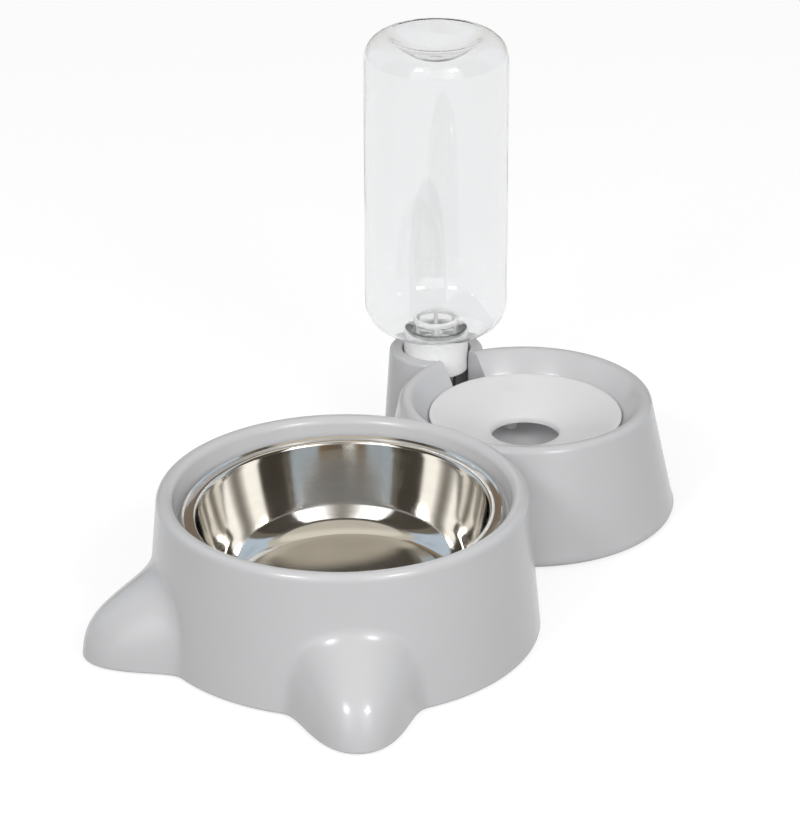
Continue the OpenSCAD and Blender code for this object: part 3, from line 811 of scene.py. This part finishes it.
def socket_ribs(s):
    """Ribs that carry the cap and the pin that opens the valve."""
    low = s.tray_floor_h - s.wall / 2
    cap_foot = CAP_LOW.z + bpy.context.scene.bowl_bottle.spout_l
    inner = (RIB_IN_R, -RIB_T / 2, low)
    outer = (socket_r(s) + SOCKET_T / 2, RIB_T / 2, cap_foot - BESIDE)
    ribs = [block("rib", BOTTLE_AT, slot_turn() + k * math.pi / 2, inner, outer) for k in (1, 2, 3)]
    top = cap_foot - PIN_DROP
    tip_r = PIN_R / 3
    pin = lathe("pin", [
        (0, low), (PIN_FOOT_R, low), (PIN_FOOT_R, s.tray_floor_h),
        *climb((PIN_FOOT_R - MM, s.tray_floor_h + PIN_FOOT_ROUND), (PIN_R, s.tray_floor_h + PIN_FOOT_H), 3),
        *arc(PIN_R - tip_r, top - tip_r, tip_r, 0, 90, 4), (0, top)], BOTTLE_AT, POST_STEPS)
    return [*ribs, pin]


class BOWL_OT_housing(bpy.types.Operator):
    """Model the moulded housing with its ears, well, tray and socket"""

    bl_idname = "bowl.housing"
    bl_label = "Housing"

    def execute(self, context):
        s = context.scene.bowl_housing
        body = union(food_outside(s), water_outside(s), collar_outside(s))
        cavity = union(food_hollow(s), water_hollow(s), collar_hollow(s))
        tray_low = s.tray_floor_h - s.wall
        kept = union(tray_body(s),
            tube("socket_body", BOTTLE_AT, socket_r(s) + SOCKET_T, tray_low, s.collar_h, COLLAR_HOLLOW_STEPS),
            slot_block(s, SOCKET_T, tray_low, s.collar_h))
        difference(cavity, kept)
        difference(body, cavity, food_well(s), tray_room(s), socket_room(s),
            slot_block(s, 0, s.tray_floor_h, s.collar_h + 2 * OVERRUN))
        union(body, *socket_ribs(s))
        foot_r = (FOOT_HIGH.x - FOOT_LOW.x) / 2 + FOOT_FIT
        for name in FEET:
            inner = (middle(name) - BOTTLE_AT).length < MM
            top = s.tray_floor_h - s.wall / 2 if inner else s.ground_gap + BOSS_H
            union(body, tube("boss", middle(name), foot_r + BOSS_WALL, s.ground_gap, top, POST_STEPS))
            difference(body, tube("recess", middle(name), foot_r, -OVERRUN, FOOT_HIGH.z, POST_STEPS))
        body.name = body.data.name = "housing_shell"
        smooth(body, 32)
        dress(body, moulded("housing_plastic", s.tint, 0.2, MOULD_GRAIN), "housing", "base",
            "base_housing", "water_tray", "bottle_socket")
        return {"FINISHED"}


# Steel bowl

FLANGE_TOP = 2.2 * MM
FLANGE_DIP = 0.3 * MM
FLANGE_START = 2.6 * MM
FLANGE_FALL = 0.1 * MM
UNDER_START = 0.4 * MM
UNDER_FALL = 0.2 * MM
ROLL_START = 0.4 * MM
MOUTH_ROUND = 1.6 * MM
FLOOR_RISE = 2 * MM
WALL_BELLY = 0.24
WALL_STEPS = 12
LEAN_ROUNDS = 8
FLOOR_RINGS = (0.66, 0.33, 0)
BOWL_STEPS = 288


def bowl_curve(s, grow, zero):
    """The bowl from its mouth down the bellied wall to the middle of its floor, grown by an offset."""
    draw, lean = s.mouth_r - s.foot_r, 0
    for _ in range(LEAN_ROUNDS):
        drop = s.depth - MOUTH_ROUND - s.corner_r * (1 - math.sin(lean))
        lean = math.atan((1 + WALL_BELLY) * draw / drop)
    wall = []
    for step in range(WALL_STEPS):
        t = step / WALL_STEPS
        slope = math.atan((1 + WALL_BELLY * (2 * t - 1)) * draw / drop)
        wall.append((s.mouth_r - draw * t * (1 + WALL_BELLY * (t - 1)) + grow * math.cos(slope),
            zero - MOUTH_ROUND - drop * t - grow * math.sin(slope)))
    centre_r = s.foot_r - s.corner_r * math.cos(lean)
    corner = arc(centre_r, zero - s.depth + s.corner_r, s.corner_r + grow, -math.degrees(lean), -90, 16)
    floor_z = zero - s.depth - grow
    return [*wall, *corner, *[(centre_r * part, floor_z) for part in FLOOR_RINGS]]


class BOWL_OT_steel_bowl(bpy.types.Operator):
    """Model the loose steel bowl with its rolled rim"""

    bl_idname = "bowl.steel_bowl"
    bl_label = "Steel bowl"

    def execute(self, context):
        h, s = context.scene.bowl_housing, context.scene.bowl_steel
        low = h.seat_h + BESIDE
        zero = low + FLANGE_TOP
        roll = (s.rim_r - s.roll_r, low + s.roll_r)
        flange_r = s.mouth_r + FLANGE_START
        piece = lathe("steel_bowl", [
            *reversed(bowl_curve(s, 0, zero)),
            *arc(s.mouth_r + MOUTH_ROUND, zero - MOUTH_ROUND, MOUTH_ROUND, 180, 96, 6)[1:],
            *climb((flange_r, zero - FLANGE_FALL), (roll[0] - ROLL_START, zero - FLANGE_DIP), 3),
            *arc(*roll, s.roll_r, 74, -215, 20),
            (flange_r, zero - s.sheet - FLANGE_DIP),
            (s.mouth_r + MOUTH_ROUND + UNDER_START, zero - s.sheet - UNDER_FALL),
            *bowl_curve(s, s.sheet, zero)], food_axis(), BOWL_STEPS)
        edit(piece)
        pivot = food_axis() + Vector((0, 0, h.seat_h))
        bpy.ops.transform.rotate(value=h.seat_tilt, orient_axis="Y", center_override=pivot)
        bpy.ops.object.mode_set(mode="OBJECT")
        smooth(piece, 40)
        floor_z = zero - s.depth + FLOOR_RISE
        dress(piece, polished_steel("polished_steel", s.tint, food_axis(), floor_z), "steel", "food_bowl",
            "steel_food_bowl")
        return {"FINISHED"}


# Splash ring

RING_EDGE_R = 0.8 * MM
RING_ROLL_R = 2.4 * MM
RING_LIP = 1.8 * MM
RING_LIP_R = 0.6 * MM
RING_CHAMFER = 0.3 * MM
RING_FLARE = 0.2 * MM
FUNNEL_START = (2.2 * MM, 0.35 * MM)
UNDER_OUT = 1.2 * MM
UNDER_IN = 2 * MM
LEG_AT = 36 * MM
LEG_TURNS = (44, 164, 284)
LEG_TAPER = 0.6 * MM
LEG_ROUND = 0.5 * MM
LEG_STEPS = 40
RING_LEAK = 0.4


class BOWL_OT_splash_ring(bpy.types.Operator):
    """Model the splash ring on its three legs"""

    bl_idname = "bowl.splash_ring"
    bl_label = "Splash ring"

    def execute(self, context):
        s = context.scene.bowl_ring
        ring_r = (RING_HIGH.x - RING_LOW.x) / 2
        top, hole_top = RING_HIGH.z, RING_HIGH.z - s.fall
        slope = math.atan((s.fall - RING_ROLL_R) / (ring_r - s.hole_r - RING_ROLL_R))
        under = hole_top + RING_ROLL_R - s.thickness
        edge = arc(ring_r - RING_EDGE_R, top - RING_EDGE_R, RING_EDGE_R, -60, 90, 8)
        roll = arc(s.hole_r + RING_ROLL_R, hole_top, RING_ROLL_R, 90 + math.degrees(slope), 180, 10)
        lip_z = hole_top - RING_LIP
        lip_r = s.hole_r + s.thickness
        under_low = (s.hole_r + RING_ROLL_R + UNDER_OUT, under + RING_FLARE)
        under_high = (ring_r - UNDER_IN, top - s.thickness - RING_FLARE)
        piece = lathe("ring_funnel", [
            *edge, *climb((ring_r - FUNNEL_START[0], top - FUNNEL_START[1]), roll[0], 10)[:-1], *roll,
            *arc(s.hole_r + RING_LIP_R, lip_z + RING_LIP_R, RING_LIP_R, 180, 270, 4),
            (lip_r - RING_CHAMFER, lip_z), (lip_r, lip_z + RING_CHAMFER),
            (lip_r + RING_FLARE, hole_top - RING_FLARE),
            *climb(under_low, under_high, 8), edge[0]], WATER_AT, WATER_STEPS)
        leg_top = top - s.thickness / 2 - (ring_r - LEG_AT) * math.tan(slope)
        tip = arc(s.leg_r - LEG_TAPER - LEG_ROUND, RING_LOW.z + LEG_ROUND, LEG_ROUND, -90, 0, 3)
        for turn in LEG_TURNS:
            a = math.radians(turn)
            foot = WATER_AT + Vector((math.cos(a), math.sin(a), 0)) * LEG_AT
            union(piece, lathe("leg", [
                (0, RING_LOW.z), *tip, (s.leg_r, leg_top), (0, leg_top)], foot, LEG_STEPS))
        piece.name = piece.data.name = "splash_funnel"
        smooth(piece, 35)
        plastic = moulded("ring_plastic", s.tint, 0.22, MOULD_GRAIN, RING_LEAK)
        dress(piece, plastic, "ring", "ring", "splash_ring")
        return {"FINISHED"}


# Bottle, cap and valve

NECK_FILLET = 2.4 * MM
DENT_STEPS = 14
BODY_END = 4 * MM
BOTTLE_STEPS = 192
CAP_STEPS = 160
CAP_CHAMFER = 0.9 * MM
CAP_TOP_ROUND = 0.6 * MM
BORE_ROUND = 0.4 * MM
CAP_BAND = 2 * MM
SPOUT_ROOT = 0.4 * MM
SPOUT_CHAMFER = 0.3 * MM
SPOUT_R = 8.6 * MM
SPOUT_TIP_R = 7.9 * MM
SPOUT_BORE_R = 6.4 * MM
THREAD_GAP = 0.3 * MM
VALVE_TINT = (0.74, 0.74, 0.73)
SEAL_TINT = (0.05, 0.05, 0.055)
SILICONE_TINT = (0.45, 0.48, 0.5)
WIRE_TINT = (0.5, 0.5, 0.49)


def bottle_wall(s, inset, neck):
    """The bottle's outline from its mouth to the middle of its base, drawn in by a wall."""
    body_r = (BOTTLE_HIGH.x - BOTTLE_LOW.x) / 2
    top = BOTTLE_HIGH.z
    mouth = s.shoulder_h - s.neck_l
    heel = body_r - s.heel_r
    dent = []
    for i in range(1, DENT_STEPS + 1):
        k = 1 - i / DENT_STEPS
        depth = s.punt_depth * (1 - k ** 2) * (1 + k) / (1 + k * k)
        dent.append((heel * k, top - inset - depth))
    bend_r, bend_z = NECK_FILLET + inset, s.shoulder_h - NECK_FILLET
    body_low, body_high = s.shoulder_h + s.shoulder_r, top - s.heel_r
    return [
        *climb((neck, mouth), (neck, bend_z), 4),
        *arc(neck + bend_r, bend_z, bend_r, 180, 100, 6)[1:],
        *arc(body_r - s.shoulder_r, body_low, s.shoulder_r - inset, -88, 0, 18),
        *climb((body_r - inset, body_low + BODY_END), (body_r - inset, body_high - BODY_END), 12),
        *arc(heel, body_high, s.heel_r - inset, 0, 90, 14),
        *dent]


class BOWL_OT_bottle(bpy.types.Operator):
    """Model the clear upturned bottle"""

    bl_idname = "bowl.bottle"
    bl_label = "Bottle"

    def execute(self, context):
        s = context.scene.bowl_bottle
        piece = lathe("clear_bottle", [
            *reversed(bottle_wall(s, 0, s.neck_r)), *bottle_wall(s, s.wall, s.neck_bore_r)],
            BOTTLE_AT, BOTTLE_STEPS)
        smooth(piece, 50)
        dress(piece, clear_plastic("clear_plastic", s.bottle_tint), "bottle", "bottle", "water_bottle")
        return {"FINISHED"}


class BOWL_OT_cap(bpy.types.Operator):
    """Model the valve cap with its spout"""

    bl_idname = "bowl.cap"
    bl_label = "Cap"

    def execute(self, context):
        s = context.scene.bowl_bottle
        cap_r = (CAP_HIGH.x - CAP_LOW.x) / 2
        low, top = CAP_LOW.z, CAP_HIGH.z
        foot = low + s.spout_l
        deck = foot + s.deck_t
        bore = s.neck_r + THREAD_GAP
        piece = lathe("valve_cap", [
            (s.seat_bore_r, deck), (bore, deck),
            *climb((bore, deck + MM), (bore, top - CAP_TOP_ROUND), 3),
            *arc(bore + BORE_ROUND, top - BORE_ROUND, BORE_ROUND, 180, 90, 3),
            *arc(cap_r - CAP_TOP_ROUND, top - CAP_TOP_ROUND, CAP_TOP_ROUND, 90, 0, 4),
            *climb((cap_r, top - CAP_BAND), (cap_r, foot + CAP_CHAMFER + CAP_TOP_ROUND), 5),
            *arc(cap_r - CAP_CHAMFER, foot + CAP_CHAMFER, CAP_CHAMFER, 0, -90, 5),
            (SPOUT_R + SPOUT_ROOT, foot), (SPOUT_R, foot - SPOUT_ROOT),
            (SPOUT_TIP_R + 0.1 * MM, low + 0.5 * MM), (SPOUT_TIP_R - SPOUT_CHAMFER, low),
            (SPOUT_BORE_R + SPOUT_CHAMFER, low), (SPOUT_BORE_R, low + SPOUT_CHAMFER),
            (SPOUT_BORE_R, foot), (s.seat_bore_r, foot), (s.seat_bore_r, deck)], BOTTLE_AT, CAP_STEPS)
        smooth(piece, 40)
        dress(piece, moulded("cap_plastic", s.cap_tint, 0.28, MOULD_GRAIN), "cap", "cap", "bottle_cap")
        return {"FINISHED"}


class BOWL_OT_valve(bpy.types.Operator):
    """Finish the cage, the poppet, their seals and the spring"""

    bl_idname = "bowl.valve"
    bl_label = "Valve"

    def execute(self, context):
        plastic = moulded("valve_plastic", VALVE_TINT, 0.3, MOULD_GRAIN / 2)
        black = rubber("seal_rubber", SEAL_TINT, 0.6)
        clear = rubber("silicone", SILICONE_TINT, 0.4)
        for name, node, width, material, slot, body in (
                ("cage_frame", "valve_cage", 0.2, plastic, "valve", "cap"),
                ("poppet_stem", "valve_poppet", 0.2, plastic, "valve", "valve"),
                ("seal_washer", "poppet_seal", 0.15, black, "seal", "valve"),
                ("gasket_ring", "cap_gasket", 0.2, clear, "gasket", "cap")):
            piece = soften(copy_node(name, node), width * MM, 50)
            smooth(piece, 35)
            dress(piece, material, slot, body, node)
        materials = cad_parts["valve_spring"].data.materials
        materials.clear()
        materials.append(drawn_wire("spring_wire", WIRE_TINT))
        return {"FINISHED"}


FOOT_DISH = 0.15 * MM
FOOT_RIM = (2.6 * MM, 2.2 * MM)
FOOT_CHAMFER = 0.2 * MM


class BOWL_OT_feet(bpy.types.Operator):
    """Finish the rubber feet with rounded edges"""

    bl_idname = "bowl.feet"
    bl_label = "Feet"

    def execute(self, context):
        s = context.scene.bowl_feet
        material = rubber("foot_rubber", s.tint, 0.75)
        for node in FEET:
            low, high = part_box(node)
            r = (high.x - low.x) / 2
            piece = lathe("rubber_" + node, [
                (0, low.z + FOOT_DISH), (r - FOOT_RIM[0], low.z + FOOT_DISH), (r - FOOT_RIM[1], low.z),
                *arc(r - s.edge, low.z + s.edge, s.edge, -90, 0, 4),
                (r, high.z - FOOT_CHAMFER), (r - FOOT_CHAMFER, high.z), (0, high.z)],
                middle(node), POST_STEPS)
            smooth(piece, 35)
            dress(piece, material, "feet", "base", node)
        return {"FINISHED"}


# Stage

CAMERA_TARGET = Vector((-2.4, 2.7, 74.2)) * MM
CAMERA_AZIMUTH = math.radians(-55)
CAMERA_ELEVATION = math.radians(25.10)
CAMERA_ROLL = math.radians(-0.26)
CAMERA_DISTANCE = 1651.1 * MM
FOCAL_PIXELS = 3683.0
FRAME_LONG_SIDE = 839
SENSOR = 36.0
LAMP_AWAY = 1.5
# Turn from the camera and rise in degrees, side in metres, and whether gloss sees the lamp
LAMPS = ((34, 40, 0.3, True), (-34, 40, 0.3, True), (8, 25, 1.2, False))
ROOM_R = 1.6
ROOM_H = 2.4
ROOM_SIDES = 96
ROOM_SHARP = 16
CEILING_TINT = (0.76, 0.71, 0.63)
CEILING_FRONT, CEILING_BACK = 0.95, 1.35
CEILING_CLOUD, CEILING_EDGE = 0.4, 0.14
CEILING_DARK_R = 1.15
CEILING_FADE = 6
# Far edge of each band in degrees from the camera's side, and its light
ROOM_BANDS = (
    (13, (0.22, 0.2, 0.17)),
    (44, (1.9, 1.9, 1.9)),
    (86, (0.085, 0.075, 0.062)),
    (98, (0.2, 0.18, 0.15)),
    (142, (0.6, 0.71, 0.83)),
    (160, (0.3, 0.22, 0.14)),
    (180, (0.25, 0.205, 0.16)),
)


def way_back(azimuth, elevation):
    """Unit vector from the object towards a viewer."""
    return Vector((math.sin(azimuth) * math.cos(elevation), -math.cos(azimuth) * math.cos(elevation),
        math.sin(elevation)))


def aim(thing, place, target, roll=0.0):
    """Puts a camera or lamp at a place and turns it to a target."""
    turn = (target - place).to_track_quat("-Z", "Y").to_matrix() @ Matrix.Rotation(roll, 3, "Z")
    thing.matrix_world = Matrix.Translation(place) @ turn.to_4x4()


def seen_directly(paint):
    """One for the rays of the camera, of gloss and of glass, and nought for the rest."""
    rays = ("Is Camera Ray", "Is Glossy Ray", "Is Transmission Ray")
    camera, glossy, through = (paint.node("LightPath", out=ray) for ray in rays)
    return camera.most(glossy).most(through)


class BOWL_OT_stage(bpy.types.Operator):
    """Add the pale floor, the soft light and the camera"""

    bl_idname = "bowl.stage"
    bl_label = "Stage"

    def execute(self, context):
        s = context.scene.bowl_stage
        self.camera(context)
        self.floor(s)
        self.sky(context, s)
        self.room()
        self.lamps(s)
        context.scene.view_settings.view_transform = "Standard"
        return {"FINISHED"}

    def camera(self, context):
        """Camera at the photograph's viewing angle."""
        deselect()
        bpy.ops.object.camera_add()
        camera = context.object
        camera.name = "camera"
        camera.data.sensor_fit = "AUTO"
        camera.data.sensor_width = SENSOR
        camera.data.lens = FOCAL_PIXELS * SENSOR / FRAME_LONG_SIDE
        camera.data.clip_start, camera.data.clip_end = 0.05, 100
        away = CAMERA_DISTANCE * way_back(CAMERA_AZIMUTH, CAMERA_ELEVATION)
        aim(camera, CAMERA_TARGET + away, CAMERA_TARGET, CAMERA_ROLL)
        context.scene.camera = camera

    def lamps(self, s):
        """Soft lamps: one on each side of the camera, and a broad one near it that gloss doesn't see."""
        for turn, rise, side, seen in LAMPS:
            deselect()
            bpy.ops.object.light_add(type="AREA")
            lamp = bpy.context.object
            lamp.name = "soft_lamp"
            lamp.data.shape = "SQUARE"
            lamp.data.size = side
            lamp.data.energy = s.lamp_power
            lamp.visible_glossy = seen
            way = way_back(CAMERA_AZIMUTH + math.radians(turn), math.radians(rise))
            aim(lamp, CAMERA_TARGET + LAMP_AWAY * way, CAMERA_TARGET)

    def floor(self, s):
        """Pale floor at the height of the feet."""
        deselect()
        bpy.ops.mesh.primitive_plane_add(size=s.floor_size)
        floor = bpy.context.object
        floor.name = "floor"

        def build(paint):
            grain = paint.noise(paint.place(), 3, 2)
            seen = seen_directly(paint)
            return {
                "Base Color": paint.vary(grain, s.floor_tint, 0.995, 1.005),
                "Roughness": 0.9 + (grain - 0.5) * 0.05,
                "Emission Color": paint.blend(seen, (0, 0, 0, 1), (1, 1, 1, 1)),
            }

        floor.data.materials.append(shader("pale_floor", build, {
            "Specular IOR Level": 0.0, "Emission Strength": s.floor_glow}))

    def room(self):
        """Round wall of pale and dark bands with a ceiling, which only gloss sees."""
        toward = way_back(CAMERA_AZIMUTH, 0)

        def wall(paint):
            where = paint.place()
            across = paint.along(where, toward) * (1 / ROOM_R)
            tint = (*ROOM_BANDS[0][1], 1)
            for (edge, _), (_, band) in zip(ROOM_BANDS, ROOM_BANDS[1:]):
                past = ((math.cos(math.radians(edge)) - across) * ROOM_SHARP + 0.5).clamped()
                tint = paint.blend(past, tint, (*band, 1))
            cloud = paint.noise(where, 1.6, 2) * 0.7 + 0.65
            return {"Emission Color": paint.blend(cloud.clamped(), (0, 0, 0, 1), tint)}

        def ceiling(paint):
            where = paint.place(tuple(CAMERA_TARGET))
            behind = (0.2 - paint.along(where, toward) * 1.4).clamped()
            edge = (paint.plan_radius(where) - CEILING_DARK_R) * CEILING_FADE
            edge = edge.clamped() * (1 - behind * 0.7)
            tint = paint.vary(behind, CEILING_TINT, CEILING_FRONT, CEILING_BACK)
            tint = paint.blend(paint.noise(where, 1.8, 2) * 0.3, tint, shade_of(CEILING_TINT, CEILING_CLOUD))
            return {"Emission Color": paint.blend(edge, tint, shade_of(CEILING_TINT, CEILING_EDGE))}

        for name, build in (("room_wall", wall), ("room_ceiling", ceiling)):
            deselect()
            if build is wall:
                bpy.ops.mesh.primitive_cylinder_add(vertices=ROOM_SIDES, radius=ROOM_R, depth=ROOM_H,
                    end_fill_type="NOTHING", location=(0, 0, ROOM_H / 2))
            else:
                bpy.ops.mesh.primitive_circle_add(vertices=ROOM_SIDES, radius=ROOM_R, fill_type="NGON",
                    location=(0, 0, ROOM_H))
            side = bpy.context.object
            side.name = name
            settle(side)
            side.data.materials.append(shader(name, build, {
                "Base Color": (0, 0, 0, 1), "Specular IOR Level": 0.0, "Emission Strength": 1.0}))
            side.visible_camera = side.visible_diffuse = False
            side.visible_transmission = side.visible_shadow = False

    def sky(self, context, s):
        """White sky that cameras, gloss and glass see at full strength."""
        world = bpy.data.worlds.new("white_sky")
        context.scene.world = world
        paint = blank(world)
        strength = s.sky_strength + seen_directly(paint) * (1 - s.sky_strength)
        sky = paint.node("Background", None, {"Color": (1, 1, 1, 1), "Strength": strength})
        paint.show(sky, "OutputWorld")


class BOWL_PT_panel(bpy.types.Panel):
    """Lists the pieces of the double pet bowl"""

    bl_idname = "BOWL_PT_panel"
    bl_label = "Double Pet Bowl"
    bl_space_type = "VIEW_3D"
    bl_region_type = "UI"
    bl_category = "Pet Bowl"

    def draw(self, context):
        for settings, _, operators in ROWS:
            group = getattr(context.scene, settings)
            box = self.layout.box()
            for key in group.bl_rna.properties.keys():
                if key not in ("rna_type", "name"):
                    box.prop(group, key)
            for operator in operators:
                box.operator(operator)


ROWS = (
    ("bowl_housing", HousingSettings, ["bowl.housing"]),
    ("bowl_steel", SteelBowlSettings, ["bowl.steel_bowl"]),
    ("bowl_ring", SplashRingSettings, ["bowl.splash_ring"]),
    ("bowl_bottle", BottleSettings, ["bowl.bottle", "bowl.cap", "bowl.valve"]),
    ("bowl_feet", FeetSettings, ["bowl.feet"]),
    ("bowl_stage", StageSettings, ["bowl.stage"]),
)
CLASSES = (*(row[1] for row in ROWS), BOWL_OT_housing, BOWL_OT_steel_bowl, BOWL_OT_splash_ring,
    BOWL_OT_bottle, BOWL_OT_cap, BOWL_OT_valve, BOWL_OT_feet, BOWL_OT_stage, BOWL_PT_panel)


def register():
    for cls in CLASSES:
        bpy.utils.register_class(cls)
    for name, cls, _ in ROWS:
        setattr(bpy.types.Scene, name, bpy.props.PointerProperty(type=cls))


def unregister():
    for name, _, _ in ROWS:
        delattr(bpy.types.Scene, name)
    for cls in reversed(CLASSES):
        bpy.utils.unregister_class(cls)


def main():
    """Builds the whole object."""
    register()
    bpy.ops.bowl.housing()
    bpy.ops.bowl.steel_bowl()
    bpy.ops.bowl.splash_ring()
    bpy.ops.bowl.bottle()
    bpy.ops.bowl.cap()
    bpy.ops.bowl.valve()
    bpy.ops.bowl.feet()
    bpy.ops.bowl.stage()


if __name__ == "__main__":
    main()
